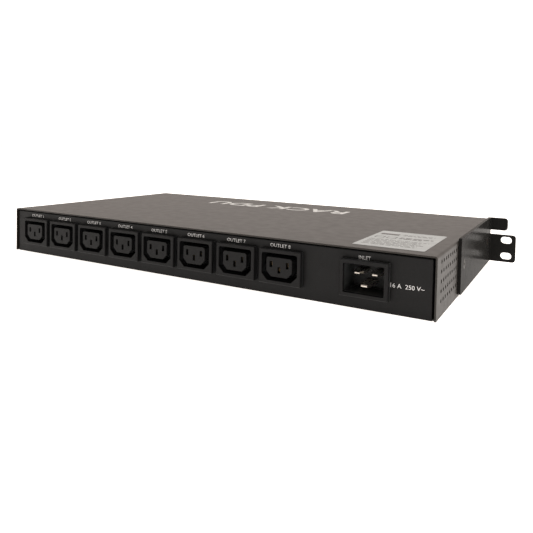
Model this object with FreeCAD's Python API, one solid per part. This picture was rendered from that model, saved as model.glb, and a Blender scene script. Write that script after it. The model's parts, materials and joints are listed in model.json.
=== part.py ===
"""Rack power strip: a 1U, 19-inch power distribution unit with eight switched outlets.

Frame: +X to the right when the outlets are faced, +Y towards the front panel and the
rack ears, +Z up.  The origin is the centre of the body's footprint, on the plane that
the body rests on.  All sizes are in millimetres.
"""
import FreeCAD, Part
import math
import os

from FreeCAD import Vector

# ---- body -----------------------------------------------------------------
BODY_WIDTH = 430.0
BODY_DEPTH = 235.0
BODY_HEIGHT = 43.6
SHEET = 1.2                  # thickness of all the folded steel sheet
RECESS = 1.2                 # both end panels sit this far inside the cover's edges
SHEET_GAP = 0.1              # gap between the cover's walls and the tray's walls

HALF_WIDTH = BODY_WIDTH / 2
REAR_EDGE_Y = -BODY_DEPTH / 2
FRONT_EDGE_Y = BODY_DEPTH / 2
REAR_FACE_Y = REAR_EDGE_Y + RECESS
FRONT_FACE_Y = FRONT_EDGE_Y - RECESS
REAR_INNER_Y = REAR_FACE_Y + SHEET
FRONT_INNER_Y = FRONT_FACE_Y - SHEET
INNER_HALF_WIDTH = HALF_WIDTH - SHEET
INNER_TOP_Z = BODY_HEIGHT - SHEET

# ---- side vents -----------------------------------------------------------
VENT_RADIUS = 1.5
VENT_COLUMNS = 9
VENT_ROWS = 5
VENT_PITCH_Y = 7.2
VENT_PITCH_Z = 6.75
VENT_FIRST_Y = REAR_EDGE_Y + 13.2
VENT_MIDDLE_Z = 24.6

# ---- rack ears, on the 19-inch rack's hole spacing --------------------------
EAR_SHEET = 2.5
EAR_HALF_SPAN = 241.3        # half of the 482.6 mm panel width
EAR_BOTTOM_Z = 2.0
EAR_HEIGHT = 43.66           # 1U panel height
EAR_PLATE_HEIGHT = 27.1
EAR_RELIEF_HEIGHT = 4.3      # open gap between the ear's plate and its upper tab
EAR_TAB_REACH = 18.5
EAR_REAR_Y = -46.7
EAR_FRONT_Y = 111.7
EAR_CORNER = 3.0
EAR_BEND_INNER = 1.0
SLOT_HALF_SPACING_X = 232.55
SLOT_SPACING_Z = 15.875
SLOT_MIDDLE_Z = 15.875
SLOT_RADIUS = 3.4
SLOT_LENGTH = 10.2
EAR_SCREW_Z = 23.8
EAR_SCREW_YS = (-33.5, 90.0)
SCREW_RADIUS = 2.0
SCREW_HEAD_RADIUS = 3.8
SCREW_TIP_X = 209.5
SIDE_WALL_HEIGHT = 34.0
UPSTAND_HEIGHT = 6.5
PANEL_FLANGE = 4.5           # the end panels' returns along the cover's sides
PANEL_BEND = 0.9
PANEL_SIDE_GAP = 1.6         # open seams between the end panels and the cover
PANEL_TOP_GAP = 0.9

# ---- C13 outlets ----------------------------------------------------------
OUTLET_COUNT = 8
OUTLET_PITCH = 40.0
OUTLET_FIRST_X = -180.9
SOCKET_Z = 22.1              # centre height of the outlets and of the inlet
FLANGE_PROUD = 5.0
FLANGE_WIDTH = 35.5
FLANGE_HEIGHT = 26.2
FLANGE_FACE_Y = REAR_FACE_Y - FLANGE_PROUD
OUTLET_NECK_WIDTH = 32.6
OUTLET_NECK_HEIGHT = 23.6
OUTLET_BACK_Y = -90.3
NECK_GAP = 0.2               # panel cutout's clearance round a neck
GROOVE_WIDTH = 30.5
GROOVE_HEIGHT = 21.2
GROOVE_CHAMFER = 5.0
GROOVE_DEPTH = 19.0
CORE_WIDTH = 21.7
CORE_HEIGHT = 14.7
CORE_CHAMFER = 4.0
SOCKET_CORNER = 1.2          # cut corners at the top of the groove and the core
FLANGE_BEVEL = 0.5
POLE_SPACING = 14.0          # line to neutral
POLE_RISE = 2.0              # line and neutral sit this far above the middle, earth below
CONTACT_SLOT_WIDTH = 2.4
CONTACT_SLOT_HEIGHT = 4.8

# ---- C20 inlet ------------------------------------------------------------
INLET_X = 165.5
INLET_CAVITY_WIDTH = 30.0
INLET_CAVITY_HEIGHT = 21.0
INLET_CAVITY_DEPTH = 22.5
INLET_NECK_WIDTH = 33.0
INLET_NECK_HEIGHT = 24.0
INLET_BACK_Y = -90.3
INLET_POLE_SPACING = 13.0
INLET_POLE_RISE = 3.0
INLET_EARTH_DROP = 5.0
BLADE_WIDTH = 8.0
BLADE_THICKNESS = 2.0
BLADE_TAPER = 4.0
POWER_BLADE_TIP_WIDTH = 3.6
EARTH_BLADE_TIP_WIDTH = 4.3
POWER_BLADE_TIP_Y = FLANGE_FACE_Y + 5.8
EARTH_BLADE_TIP_Y = FLANGE_FACE_Y + 2.5

# ---- terminals, boards and wiring -----------------------------------------
TAB_END_Y = -83.5
TAB_WIDTH = 6.3
TAB_THICKNESS = 0.8
BUS_THICKNESS = 1.0
NEUTRAL_BUS_Y = TAB_END_Y + 6.0
EARTH_BUS_Y = TAB_END_Y + 12.0
EARTH_STUD_X = 140.0
EARTH_STUD_Y = TAB_END_Y + 18.0
BOARD_THICKNESS = 1.6
RELAY_BOARD_Z = 6.2
RELAY_BOARD = (-198.0, 122.0, -87.5, -9.5)        # x and y extents
CONTROL_BOARD_Z = 9.2
CONTROL_BOARD = (-186.0, 62.0, 63.5, 110.5)
STANDOFF_RADIUS = 2.8
RELAY_LENGTH = 28.0
RELAY_WIDTH = 12.6
RELAY_HEIGHT = 15.6
RELAY_MIDDLE_Y = -47.5
POWER_MODULE_X = (28.0, 68.0)
POWER_MODULE_Y = (-31.5, -11.5)
TERMINAL_X = 90.0            # first of the three screw terminals
TERMINAL_Y = -20.5
TERMINAL_PITCH = 8.0

# ---- front panel controls -------------------------------------------------
BUTTON_FIRST_X = -98.0
BUTTON_PITCH = 20.0
BUTTON_Z = 18.0
BUTTON_WIDTH = 9.0
BUTTON_HEIGHT = 5.0
BUTTON_PROUD = 1.5
BUTTON_TRAVEL = 1.0
BUTTON_GAP = 0.3
LED_RADIUS = 2.5
LED_Z = 30.0
JACK_X = -160.0
JACK_WIDTH = 16.0
JACK_HEIGHT = 13.6
JACK_OPENING_WIDTH = 11.8
JACK_OPENING_HEIGHT = 7.0
JACK_OPENING_DEPTH = 13.0
PLUNGER_RADIUS = 1.5
CAP_FLANGE = 1.0
CAP_BACK_Y = FRONT_INNER_Y - BUTTON_GAP - 1.2
SWITCH_FACE_Y = CAP_BACK_Y - BUTTON_TRAVEL - 0.5
PLUNGER_END_Y = SWITCH_FACE_Y - 3.0
BREAKER_XS = (130.0, 170.0)
BREAKER_Z = 22.0
BREAKER_NECK_RADIUS = 4.75
BREAKER_BORE_RADIUS = 3.15
BREAKER_BUTTON_RADIUS = 3.1
BREAKER_BUTTON_PROUD = FLANGE_PROUD               # same reach at the front as at the rear
NUT_FLATS = 13.0
NUT_THICKNESS = 2.0
BREAKER_FACE_Y = FRONT_INNER_Y - 0.6
BREAKER_BACK_Y = BREAKER_FACE_Y - 33.0
BREAKER_TAB_Y = BREAKER_BACK_Y - 8.0
NECK_END_Y = FRONT_FACE_Y + NUT_THICKNESS + 0.3
BREAKER_BUTTON_BACK_Y = BREAKER_FACE_Y - 8.0

# ---- rating label on the cover ----------------------------------------------
LABEL_X = (150.7, 203.4)
LABEL_Y = (-105.7, -30.7)
LABEL_THICKNESS = 0.15


# ---- shape helpers --------------------------------------------------------
def box(x_low, x_high, y_low, y_high, z_low, z_high):
    size = (x_high - x_low, y_high - y_low, z_high - z_low)
    return Part.makeBox(*size, Vector(x_low, y_low, z_low))


def rod(start, direction, radius, length):
    return Part.makeCylinder(radius, length, Vector(*start), Vector(*direction))


def fuse(shapes):
    first, *others = shapes
    return first.fuse(others).removeSplitter() if others else first


def group(shapes):
    """Several separate solids that share one node."""
    return Part.makeCompound(shapes)


def rounded_outline(points, y):
    """Closed face in an XZ plane from (x, z, corner radius) points in order."""
    corners = [Vector(x, y, z) for x, z, _ in points]
    radii = [radius for _, _, radius in points]
    count = len(points)
    starts, ends, edges = [], [], []
    for i, corner in enumerate(corners):
        before = (corners[i - 1] - corner).normalize()
        after = (corners[(i + 1) % count] - corner).normalize()
        half_angle = before.getAngle(after) / 2
        setback = radii[i] / math.tan(half_angle)
        starts.append(corner + before * setback)
        ends.append(corner + after * setback)
        if radii[i] > 0:
            bisector = (before + after).normalize()
            middle = corner + bisector * (radii[i] / math.sin(half_angle) - radii[i])
            edges.append(Part.Arc(starts[i], middle, ends[i]).toShape())
    for i in range(count):
        edges.append(Part.LineSegment(ends[i], starts[(i + 1) % count]).toShape())
    return Part.Face(Part.Wire(Part.__sortEdges__(edges)))


def block(centre_x, centre_z, width, height, radius, y_low, y_high):
    """Rectangular block along Y with rounded long edges."""
    x, z = width / 2, height / 2
    points = [(centre_x - x, centre_z - z, radius), (centre_x + x, centre_z - z, radius),
              (centre_x + x, centre_z + z, radius), (centre_x - x, centre_z + z, radius)]
    return rounded_outline(points, y_low).extrude(Vector(0, y_high - y_low, 0))


def socket_block(centre_x, width, height, chamfer, y_low, y_high):
    """Block along Y in the C13 outline: large cuts off the lower corners, small ones above."""
    x, z, corner = width / 2, height / 2, SOCKET_CORNER
    half_outline = [(corner - x, z), (x - corner, z), (x, z - corner), (x, chamfer - z), (x - chamfer, -z)]
    outline = half_outline + [(chamfer - x, -z), (-x, chamfer - z), (-x, z - corner)]
    points = [Vector(centre_x + px, y_low, SOCKET_Z + pz) for px, pz in outline]
    points.append(points[0])
    return Part.Face(Part.makePolygon(points)).extrude(Vector(0, y_high - y_low, 0))


def hexagon(centre, flats, length, direction):
    """Hexagonal prism along direction, which is an axis of the frame."""
    radius = flats / math.sqrt(3)
    axis = Vector(*direction)
    side = Vector(0, 0, 1) if axis.z == 0 else Vector(1, 0, 0)
    across = axis.cross(side)
    corners = []
    for i in range(7):
        angle = math.radians(60 * i)
        corners.append(Vector(*centre) + side * radius * math.cos(angle) + across * radius * math.sin(angle))
    return Part.Face(Part.makePolygon(corners)).extrude(axis * length)


def mirrored(shape):
    return shape.mirror(Vector(0, 0, 0), Vector(1, 0, 0))


def round_face_edges(shape, radius, y, half_width, centre_x):
    """Fillet the outer edges of the face at y, out to half_width from centre_x."""
    edges = []
    for edge in shape.Edges:
        bounds = edge.BoundBox
        on_face = abs(bounds.YMin - y) < 0.001 and abs(bounds.YMax - y) < 0.001
        reach = max(abs(bounds.XMin - centre_x), abs(bounds.XMax - centre_x))
        if on_face and abs(reach - half_width) < 0.01:
            edges.append(edge)
    return shape.makeFillet(radius, edges)


def wire_run(points, radius, bend):
    """Round wire along straight runs joined by tangent arcs."""
    nodes = [Vector(*point) for point in points]
    edges = []
    start = nodes[0]
    for i in range(1, len(nodes) - 1):
        before = (nodes[i - 1] - nodes[i]).normalize()
        after = (nodes[i + 1] - nodes[i]).normalize()
        half_angle = before.getAngle(after) / 2
        setback = bend / math.tan(half_angle)
        arc_start = nodes[i] + before * setback
        arc_end = nodes[i] + after * setback
        bisector = (before + after).normalize()
        middle = nodes[i] + bisector * (bend / math.sin(half_angle) - bend)
        edges.append(Part.LineSegment(start, arc_start).toShape())
        edges.append(Part.Arc(arc_start, middle, arc_end).toShape())
        start = arc_end
    edges.append(Part.LineSegment(start, nodes[-1]).toShape())
    path = Part.Wire(edges)
    section = Part.Wire(Part.makeCircle(radius, nodes[0], nodes[1] - nodes[0]))
    return path.makePipeShell([section], True, True)


def outlet_xs():
    return [OUTLET_FIRST_X + OUTLET_PITCH * i for i in range(OUTLET_COUNT)]


def button_xs():
    return [BUTTON_FIRST_X + BUTTON_PITCH * i for i in range(OUTLET_COUNT)]


# ---- enclosure ------------------------------------------------------------
def make_floor_tray():
    """Floor with an upstand behind each end panel and a wall behind each ear."""
    half = INNER_HALF_WIDTH - SHEET_GAP
    tray = [box(-half, half, REAR_INNER_Y, FRONT_INNER_Y, 0, SHEET)]
    for y in (REAR_INNER_Y, FRONT_INNER_Y - SHEET):
        tray.append(box(-half + 4, half - 4, y, y + SHEET, 0, UPSTAND_HEIGHT))
    for x in (-half, half - SHEET):
        tray.append(box(x, x + SHEET, EAR_REAR_Y, FRONT_INNER_Y - 6, 0, SIDE_WALL_HEIGHT))
    tray = fuse(tray)
    for y in EAR_SCREW_YS:
        tray = tray.cut(rod((-half - 1, y, EAR_SCREW_Z), (1, 0, 0), SCREW_RADIUS, 2 * half + 2))
    return tray


def end_panel(face_y, inward):
    """Upright end panel with returns under the cover's top and along its sides.

    inward is +1 or -1 along Y.
    """
    half = INNER_HALF_WIDTH - PANEL_SIDE_GAP
    top = INNER_TOP_Z - PANEL_TOP_GAP
    near, far = sorted((face_y, face_y + inward * SHEET))
    lip_near, lip_far = sorted((face_y, face_y + inward * 11))
    side_near, side_far = sorted((face_y, face_y + inward * PANEL_FLANGE))
    sheets = [box(-half, half, near, far, 0, top),
              box(-half + 3, half - 3, lip_near, lip_far, top - SHEET, top)]
    for x in (-half, half - SHEET):
        sheets.append(box(x, x + SHEET, side_near, side_far, SHEET + 0.1, top - 3))
    panel = fuse(sheets)
    bends = []
    for edge in panel.Edges:
        bounds = edge.BoundBox
        on_face = abs(bounds.YMin - face_y) < 0.001 and abs(bounds.YMax - face_y) < 0.001
        at_top = bounds.ZMin > top - 0.001
        at_side = abs(abs(bounds.Center.x) - half) < 0.001
        if (on_face and (at_top or at_side)) or (at_top and at_side):
            bends.append(edge)
    return panel.makeFillet(PANEL_BEND, bends)


def make_rear_panel():
    panel = end_panel(REAR_FACE_Y, 1)
    cutouts = [(x, OUTLET_NECK_WIDTH, OUTLET_NECK_HEIGHT) for x in outlet_xs()]
    cutouts.append((INLET_X, INLET_NECK_WIDTH, INLET_NECK_HEIGHT))
    for x, width, height in cutouts:
        opening = block(x, SOCKET_Z, width + 2 * NECK_GAP, height + 2 * NECK_GAP, 0.4,
                        REAR_FACE_Y - 1, REAR_INNER_Y + 1)
        panel = panel.cut(opening)
    return panel


def make_front_panel():
    panel = end_panel(FRONT_FACE_Y, -1)
    low, high = FRONT_INNER_Y - 1, FRONT_FACE_Y + 1
    for x in button_xs():
        width, height = BUTTON_WIDTH + 2 * BUTTON_GAP, BUTTON_HEIGHT + 2 * BUTTON_GAP
        panel = panel.cut(block(x, BUTTON_Z, width, height, 1.5, low, high))
        panel = panel.cut(rod((x, low, LED_Z), (0, 1, 0), LED_RADIUS + 0.1, high - low))
    jack_z = CONTROL_BOARD_Z + BOARD_THICKNESS + JACK_HEIGHT / 2
    panel = panel.cut(block(JACK_X, jack_z, JACK_WIDTH + 0.6, JACK_HEIGHT + 0.6, 0.5, low, high))
    for x in BREAKER_XS:
        hole = rod((x, low, BREAKER_Z), (0, 1, 0), BREAKER_NECK_RADIUS + 0.15, high - low)
        panel = panel.cut(hole)
    return panel


def make_cover():
    """Top and two sides folded from one sheet, with a field of round vents in each side."""
    def channel(half_width, top, fold_radius, y_low, y_high):
        outline = [(-half_width, -1, 0), (half_width, -1, 0),
                   (half_width, top, fold_radius), (-half_width, top, fold_radius)]
        return rounded_outline(outline, y_low).extrude(Vector(0, y_high - y_low, 0))

    outer = channel(HALF_WIDTH, BODY_HEIGHT, 2.0, REAR_EDGE_Y, FRONT_EDGE_Y)
    inner = channel(INNER_HALF_WIDTH, INNER_TOP_Z, 0.8, REAR_EDGE_Y - 1, FRONT_EDGE_Y + 1)
    below = box(-HALF_WIDTH - 1, HALF_WIDTH + 1, REAR_EDGE_Y - 1, FRONT_EDGE_Y + 1, -3, 0)
    cover = outer.cut([inner, below])
    holes = []
    for column in range(VENT_COLUMNS):
        for row in range(VENT_ROWS):
            y = VENT_FIRST_Y + VENT_PITCH_Y * column
            z = VENT_MIDDLE_Z + VENT_PITCH_Z * (row - (VENT_ROWS - 1) / 2)
            holes.append(rod((-HALF_WIDTH - 1, y, z), (1, 0, 0), VENT_RADIUS, BODY_WIDTH + 2))
    for y in EAR_SCREW_YS:
        start = (-HALF_WIDTH - 1, y, EAR_SCREW_Z)
        holes.append(rod(start, (1, 0, 0), SCREW_RADIUS + 0.25, BODY_WIDTH + 2))
    return cover.cut(holes)


def make_ear(with_tab):
    """Right-hand rack ear: a leg along the body's side, bent outwards at the front."""
    plate_top = EAR_BOTTOM_Z + EAR_PLATE_HEIGHT
    tab_bottom = plate_top + EAR_RELIEF_HEIGHT
    top = EAR_BOTTOM_Z + EAR_HEIGHT if with_tab else plate_top
    leg_outer_x = HALF_WIDTH + EAR_SHEET
    ear_rear_y = EAR_FRONT_Y - EAR_SHEET
    outline = [Vector(HALF_WIDTH, EAR_REAR_Y, 0), Vector(leg_outer_x, EAR_REAR_Y, 0),
               Vector(leg_outer_x, ear_rear_y, 0), Vector(EAR_HALF_SPAN, ear_rear_y, 0),
               Vector(EAR_HALF_SPAN, EAR_FRONT_Y, 0), Vector(HALF_WIDTH, EAR_FRONT_Y, 0)]
    outline.append(outline[0])
    ear = Part.Face(Part.makePolygon(outline)).extrude(Vector(0, 0, BODY_HEIGHT + 10))
    for x, y, radius in ((leg_outer_x, ear_rear_y, EAR_BEND_INNER),
                         (HALF_WIDTH, EAR_FRONT_Y, EAR_BEND_INNER + EAR_SHEET)):
        fold = [edge for edge in ear.Edges
                if abs(edge.BoundBox.Center.x - x) < 0.01 and abs(edge.BoundBox.Center.y - y) < 0.01]
        ear = ear.makeFillet(radius, fold)

    def plate(outer_x, z_low, z_high):
        inner_x = HALF_WIDTH - 5
        return rounded_outline([(inner_x, z_low, 0), (outer_x, z_low, EAR_CORNER),
                                (outer_x, z_high, EAR_CORNER), (inner_x, z_high, 0)], EAR_REAR_Y - 1)

    reach = Vector(0, EAR_FRONT_Y - EAR_REAR_Y + 2, 0)
    front_view = [plate(EAR_HALF_SPAN, EAR_BOTTOM_Z, plate_top).extrude(reach)]
    if with_tab:
        front_view.append(plate(HALF_WIDTH + EAR_TAB_REACH, tab_bottom, top).extrude(reach))
        front_view.append(box(HALF_WIDTH - 5, leg_outer_x, EAR_REAR_Y - 1, EAR_FRONT_Y + 1,
                              plate_top - 1, tab_bottom + 1))
    ear = ear.common(fuse(front_view))

    leg_corners = [edge for edge in ear.Edges
                   if edge.BoundBox.YMax < EAR_REAR_Y + 0.001 and edge.BoundBox.ZLength < 0.001]
    ear = ear.makeFillet(2.5, leg_corners)
    for side in (-1, 1):
        slot_z = SLOT_MIDDLE_Z + side * SLOT_SPACING_Z / 2
        ear = ear.cut(block(SLOT_HALF_SPACING_X, slot_z, SLOT_LENGTH, 2 * SLOT_RADIUS,
                            SLOT_RADIUS - 0.001, ear_rear_y - 1, EAR_FRONT_Y + 1))
    for y in EAR_SCREW_YS:
        ear = ear.cut(countersunk_screw(y, SCREW_RADIUS + 0.2, SCREW_HEAD_RADIUS + 0.1))
    return ear


def countersunk_screw(y, shank_radius, head_radius):
    """Flat-headed screw from the ear's outer face inwards, on the right-hand side."""
    outer_x = HALF_WIDTH + EAR_SHEET
    depth = head_radius - shank_radius
    head = Part.makeCone(head_radius, shank_radius, depth, Vector(outer_x, y, EAR_SCREW_Z), Vector(-1, 0, 0))
    return head.fuse(rod((outer_x, y, EAR_SCREW_Z), (-1, 0, 0), shank_radius, outer_x - SCREW_TIP_X))


def make_ear_screws():
    """Flat-headed screws with hexagon recesses, the same on both sides."""
    screws = []
    for y in EAR_SCREW_YS:
        outer_x = HALF_WIDTH + EAR_SHEET
        screw = countersunk_screw(y, SCREW_RADIUS, SCREW_HEAD_RADIUS)
        recess = hexagon((outer_x + 0.1, y, EAR_SCREW_Z), 2.5, 1.5, (-1, 0, 0))
        screw = screw.cut(recess)
        screws += [screw, mirrored(screw)]
    return group(screws)


def make_ear_nuts():
    """Clinch nuts pressed into the tray's side walls for the ear screws."""
    wall_x = INNER_HALF_WIDTH - SHEET_GAP - SHEET
    nuts = []
    for y in EAR_SCREW_YS:
        nut = rod((wall_x, y, EAR_SCREW_Z), (-1, 0, 0), 4.0, 2.0)
        nut = nut.cut(rod((wall_x + 1, y, EAR_SCREW_Z), (-1, 0, 0), SCREW_RADIUS, 6))
        nuts += [nut, mirrored(nut)]
    return group(nuts)


def make_rating_label():
    label = box(*LABEL_X, *LABEL_Y, BODY_HEIGHT, BODY_HEIGHT + LABEL_THICKNESS)
    corners = [edge for edge in label.Edges if edge.BoundBox.ZLength > LABEL_THICKNESS / 2]
    return label.makeFillet(1.5, corners)


# ---- outlets ----------------------------------------------------------------
def latches(centre_x, neck_width):
    """Snap latches on both ends of a neck, just behind the panel."""
    wedges = []
    for side in (-1, 1):
        x = centre_x + side * neck_width / 2
        base_y = REAR_INNER_Y + 0.05
        corners = [Vector(x - side * 0.5, base_y, 0), Vector(x + side * 1.0, base_y, 0),
                   Vector(x, base_y + 6, 0), Vector(x - side * 0.5, base_y + 6, 0)]
        corners.append(corners[0])
        wedge = Part.Face(Part.makePolygon(corners)).extrude(Vector(0, 0, 8))
        wedge.translate(Vector(0, 0, SOCKET_Z - 4))
        wedges.append(wedge)
    return wedges


def contact_places(centre_x):
    """Centres of line, neutral and earth in one outlet."""
    half = POLE_SPACING / 2
    return [(centre_x - half, SOCKET_Z + POLE_RISE), (centre_x + half, SOCKET_Z + POLE_RISE),
            (centre_x, SOCKET_Z - POLE_RISE)]


def bevelled_flange(centre_x):
    """Flange of an outlet or of the inlet, bevelled round its face."""
    half_width, half_height = FLANGE_WIDTH / 2, FLANGE_HEIGHT / 2
    flange = box(centre_x - half_width, centre_x + half_width, FLANGE_FACE_Y, REAR_FACE_Y,
                 SOCKET_Z - half_height, SOCKET_Z + half_height)
    return flange.makeChamfer(FLANGE_BEVEL, [edge for edge in flange.Edges
                                             if edge.BoundBox.YMax < FLANGE_FACE_Y + 0.001])


def make_outlet(centre_x):
    """Snap-in outlet: a proud flange, a groove for the plug's shroud and a slotted core.

    Each contact's slot runs right through the housing, so the contacts go in from behind.
    """
    flange = bevelled_flange(centre_x)
    half_width, half_height = OUTLET_NECK_WIDTH / 2, OUTLET_NECK_HEIGHT / 2
    neck = box(centre_x - half_width, centre_x + half_width, REAR_FACE_Y, OUTLET_BACK_Y,
               SOCKET_Z - half_height, SOCKET_Z + half_height)
    groove_end = FLANGE_FACE_Y + GROOVE_DEPTH
    groove = socket_block(centre_x, GROOVE_WIDTH, GROOVE_HEIGHT, GROOVE_CHAMFER,
                          FLANGE_FACE_Y - 1, groove_end)
    core = socket_block(centre_x, CORE_WIDTH, CORE_HEIGHT, CORE_CHAMFER, FLANGE_FACE_Y - 2, groove_end + 1)
    housing = fuse([flange, neck] + latches(centre_x, OUTLET_NECK_WIDTH)).cut(groove.cut(core))
    half_width, half_height = CONTACT_SLOT_WIDTH / 2, CONTACT_SLOT_HEIGHT / 2
    slots = [box(x - half_width, x + half_width, FLANGE_FACE_Y - 1, OUTLET_BACK_Y + 1,
                 z - half_height, z + half_height) for x, z in contact_places(centre_x)]
    return housing.cut(slots)


def make_outlet_contacts(centre_x):
    """Three sprung forks, each with a tab that passes out of the housing's back."""
    leaf_low, leaf_high = FLANGE_FACE_Y + 3.6, OUTLET_BACK_Y - 2.3
    outer_x, leaf_thickness, height = 1.15, 0.4, 2.1
    half_tab = TAB_THICKNESS / 2
    contacts = []
    for x, z in contact_places(centre_x):
        leaves = [box(low, low + leaf_thickness, leaf_low, leaf_high, z - height, z + height)
                  for low in (x - outer_x, x + outer_x - leaf_thickness)]
        bridge = box(x - outer_x, x + outer_x, leaf_high - 0.6, leaf_high, z - height, z + height)
        tab = box(x - half_tab, x + half_tab, leaf_high - 0.3, TAB_END_Y, z - height, z + height)
        contacts.append(fuse(leaves + [bridge, tab]))
    return group(contacts)


# ---- inlet --------------------------------------------------------------------
def inlet_places():
    """Centres of the inlet's line, neutral and earth blades."""
    half = INLET_POLE_SPACING / 2
    upper, lower = SOCKET_Z + INLET_POLE_RISE, SOCKET_Z - INLET_EARTH_DROP
    return [(INLET_X - half, upper), (INLET_X + half, upper), (INLET_X, lower)]


def make_inlet():
    """Snap-in C20 inlet housing: an open box that the supply connector pushes into."""
    flange = bevelled_flange(INLET_X)
    neck = block(INLET_X, SOCKET_Z, INLET_NECK_WIDTH, INLET_NECK_HEIGHT, 0.8, REAR_FACE_Y, INLET_BACK_Y)
    cavity = block(INLET_X, SOCKET_Z, INLET_CAVITY_WIDTH, INLET_CAVITY_HEIGHT, 0.8,
                   FLANGE_FACE_Y - 1, FLANGE_FACE_Y + INLET_CAVITY_DEPTH)
    inlet = fuse([flange, neck] + latches(INLET_X, INLET_NECK_WIDTH)).cut(cavity)
    for x, z in inlet_places():
        inlet = inlet.cut(box(x - BLADE_WIDTH / 2, x + BLADE_WIDTH / 2, INLET_BACK_Y - 10, INLET_BACK_Y + 1,
                              z - BLADE_THICKNESS / 2, z + BLADE_THICKNESS / 2))
    return inlet


def blade(place, tip_y, tip_width):
    """Flat blade that narrows to its tip, with a narrower terminal tab at its back."""
    x, z = place
    half, half_tip, half_thickness = BLADE_WIDTH / 2, tip_width / 2, BLADE_THICKNESS / 2
    shoulder_y = tip_y + BLADE_TAPER
    outline = [(x - half_tip, tip_y), (x + half_tip, tip_y), (x + half, shoulder_y), (x + half, INLET_BACK_Y),
               (x - half, INLET_BACK_Y), (x - half, shoulder_y), (x - half_tip, tip_y)]
    corners = [Vector(px, py, z - half_thickness) for px, py in outline]
    body = Part.Face(Part.makePolygon(corners)).extrude(Vector(0, 0, BLADE_THICKNESS))
    tip_edges = [edge for edge in body.Edges
                 if edge.BoundBox.YMax < tip_y + 0.001 and edge.BoundBox.XLength > 1]
    body = body.makeChamfer(0.6, tip_edges)
    half_tab = TAB_THICKNESS / 2
    tab = box(x - TAB_WIDTH / 2, x + TAB_WIDTH / 2, INLET_BACK_Y - 1, TAB_END_Y, z - half_tab, z + half_tab)
    return fuse([body, tab])


def make_inlet_power_blades():
    return group([blade(place, POWER_BLADE_TIP_Y, POWER_BLADE_TIP_WIDTH) for place in inlet_places()[:2]])


def make_inlet_earth_blade():
    return blade(inlet_places()[2], EARTH_BLADE_TIP_Y, EARTH_BLADE_TIP_WIDTH)


# ---- boards and what stands on them -------------------------------------------
def board_holes(extents):
    """Screw positions near the four corners of a board and at the middle of its rear side."""
    x_low, x_high, y_low, y_high = extents
    corners = [(x, y) for x in (x_low + 5, x_high - 5) for y in (y_low + 5, y_high - 5)]
    return corners + [((x_low + x_high) / 2, y_low + 5)]


def make_board(extents, z):
    x_low, x_high, y_low, y_high = extents
    board = box(x_low, x_high, y_low, y_high, z, z + BOARD_THICKNESS)
    return board.cut([rod((x, y, z - 1), (0, 0, 1), 1.6, BOARD_THICKNESS + 2)
                      for x, y in board_holes(extents)])


def all_board_holes():
    places = [(x, y, RELAY_BOARD_Z) for x, y in board_holes(RELAY_BOARD)]
    return places + [(x, y, CONTROL_BOARD_Z) for x, y in board_holes(CONTROL_BOARD)]


def make_standoffs():
    posts = []
    for x, y, top in all_board_holes():
        post = rod((x, y, SHEET), (0, 0, 1), STANDOFF_RADIUS, top - SHEET)
        posts.append(post.cut(rod((x, y, SHEET + 1), (0, 0, 1), 1.5, top)))
    return group(posts)


def make_board_screws():
    screws = []
    for x, y, board_z in all_board_holes():
        top = board_z + BOARD_THICKNESS
        head = rod((x, y, top), (0, 0, 1), 2.7, 1.8)
        shank = rod((x, y, top - BOARD_THICKNESS - 3), (0, 0, 1), 1.5, BOARD_THICKNESS + 3.1)
        recess = box(x - 2, x + 2, y - 0.3, y + 0.3, top + 0.9, top + 2)
        screws.append(head.fuse(shank).removeSplitter().cut(recess))
    return group(screws)


def relay_board_top():
    return RELAY_BOARD_Z + BOARD_THICKNESS


def make_relays():
    relays = []
    for x in outlet_xs():
        relay = box(x - RELAY_WIDTH / 2, x + RELAY_WIDTH / 2,
                    RELAY_MIDDLE_Y - RELAY_LENGTH / 2, RELAY_MIDDLE_Y + RELAY_LENGTH / 2,
                    relay_board_top(), relay_board_top() + RELAY_HEIGHT)
        upright = [edge for edge in relay.Edges if edge.BoundBox.ZLength > 1]
        relays.append(relay.makeFillet(0.8, upright))
    return group(relays)


def make_power_module():
    """Sealed low-voltage supply for the relays and the control board."""
    module = box(*POWER_MODULE_X, *POWER_MODULE_Y, relay_board_top(), relay_board_top() + 19)
    return module.makeFillet(1.0, [edge for edge in module.Edges if edge.BoundBox.ZLength > 1])


def make_terminal_block():
    """Screw terminals where the two fused lines come onto the relay board."""
    block_low = relay_board_top()
    front_y = TERMINAL_Y + 6
    body = box(TERMINAL_X - 4, TERMINAL_X + 20, TERMINAL_Y - 6, front_y, block_low, block_low + 12)
    for i in range(3):
        x = TERMINAL_X + TERMINAL_PITCH * i
        body = body.cut(rod((x, TERMINAL_Y, block_low + 7), (0, 0, 1), 2.2, 6))
        body = body.cut(box(x - 2.4, x + 2.4, front_y - 1, front_y + 1, block_low + 1.5, block_low + 6.5))
    return body


def make_ribbon_cable():
    """Flat cable from the relay board to the control board, in three flat runs."""
    x_low, x_high = -20.0, 5.0
    control_top = CONTROL_BOARD_Z + BOARD_THICKNESS
    plugs = [box(x_low - 1, x_high + 1, -28, -20, relay_board_top(), relay_board_top() + 6),
             box(x_low - 1, x_high + 1, 71, 79, control_top, control_top + 6)]
    ribbon = [box(x_low, x_high, -24, 75, control_top + 8, control_top + 9),
              box(x_low, x_high, -24.5, -23.5, relay_board_top() + 5, control_top + 9),
              box(x_low, x_high, 74.5, 75.5, control_top + 5, control_top + 9)]
    return fuse(plugs + ribbon)


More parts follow.
